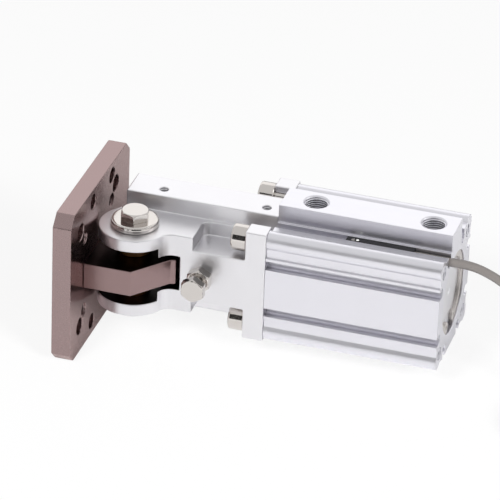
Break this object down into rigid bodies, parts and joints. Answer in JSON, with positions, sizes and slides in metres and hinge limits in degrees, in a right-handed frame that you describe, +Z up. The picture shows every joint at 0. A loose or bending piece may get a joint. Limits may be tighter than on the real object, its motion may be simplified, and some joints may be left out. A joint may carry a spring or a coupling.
{
  "type": "swing plate cylinder",
  "caption": "Compact square pneumatic cylinder on a hinge bracket: its rod turns a drilled mounting plate about an upright pin through a quarter turn, against a stop bolt.",
  "frame": {"origin": "midway between the two tapped holes in the underside of the bracket's web, on that underside", "axes": "+X along the cylinder's axis towards the closed end of the barrel, +Z up along the hinge pin, -Y towards the side with the hinge"},
  "size_m": [0.2136, 0.0772, 0.0618],
  "materials": {
    "anodised_aluminium": "satin clear anodised",
    "extruded_aluminium": "brushed lengthwise, clear anodised",
    "bronzed_aluminium": "brown hard anodised",
    "nickel_plate": "bright nickel",
    "ground_steel": "ground",
    "spring_steel": "plain",
    "chrome_rod": "hard chrome",
    "bronze": "plain",
    "nitrile_rubber": "matt",
    "black_plastic": "moulded",
    "clear_plastic": "clear lens",
    "lead_sheath": "oil-proof sheath",
    "core_sheath": "core insulation"
  },
  "bodies": {
    "frame": {"hinge_bracket": "anodised_aluminium", "barrel": "extruded_aluminium", "rod_cover": "anodised_aluminium", "cover_seal": "nitrile_rubber", "rod_bush": "bronze", "rod_seal": "nitrile_rubber", "cover_ring": "spring_steel", "front_bumper": "nitrile_rubber", "rear_cap": "anodised_aluminium", "rear_cap_seal": "nitrile_rubber", "rear_ring": "spring_steel", "rear_bumper": "nitrile_rubber", "flange_screws": "nickel_plate", "upper_bush": "bronze", "lower_bush": "bronze", "stop_bolt": "nickel_plate", "stop_nut": "nickel_plate", "sensor_body": "black_plastic", "sensor_screw": "nickel_plate", "sensor_led": "clear_plastic", "lead_tube": "lead_sheath", "lead_coil": "lead_sheath", "lead_tie": "black_plastic", "lead_cores": "core_sheath"},
    "swing": {"swing_plate": "bronzed_aluminium", "swing_arm": "bronzed_aluminium", "arm_screws": "nickel_plate", "hinge_pin": "ground_steel", "hinge_washer": "nickel_plate", "hinge_bolt": "nickel_plate", "drive_pin": "ground_steel"},
    "rod": {"piston": "anodised_aluminium", "piston_seal": "nitrile_rubber", "magnet_ring": "nitrile_rubber", "piston_rod": "chrome_rod", "rod_yoke": "ground_steel"}
  },
  "joints": [
    {"name": "plate_swing", "type": "hinge", "parent": "frame", "child": "swing", "pos_m": [-0.0255, -0.0195, 0.0225], "axis": [0, 0, 1], "range_deg": [0, 90]},
    {"name": "rod_slide", "type": "slide", "parent": "frame", "child": "rod", "axis": [-1, 0, 0], "range_m": [0, 0.0297]}
  ],
  "couplings": [
    {"joint": "rod_slide", "follows": "plate_swing", "m_per_rad": 0.018906}
  ]
}
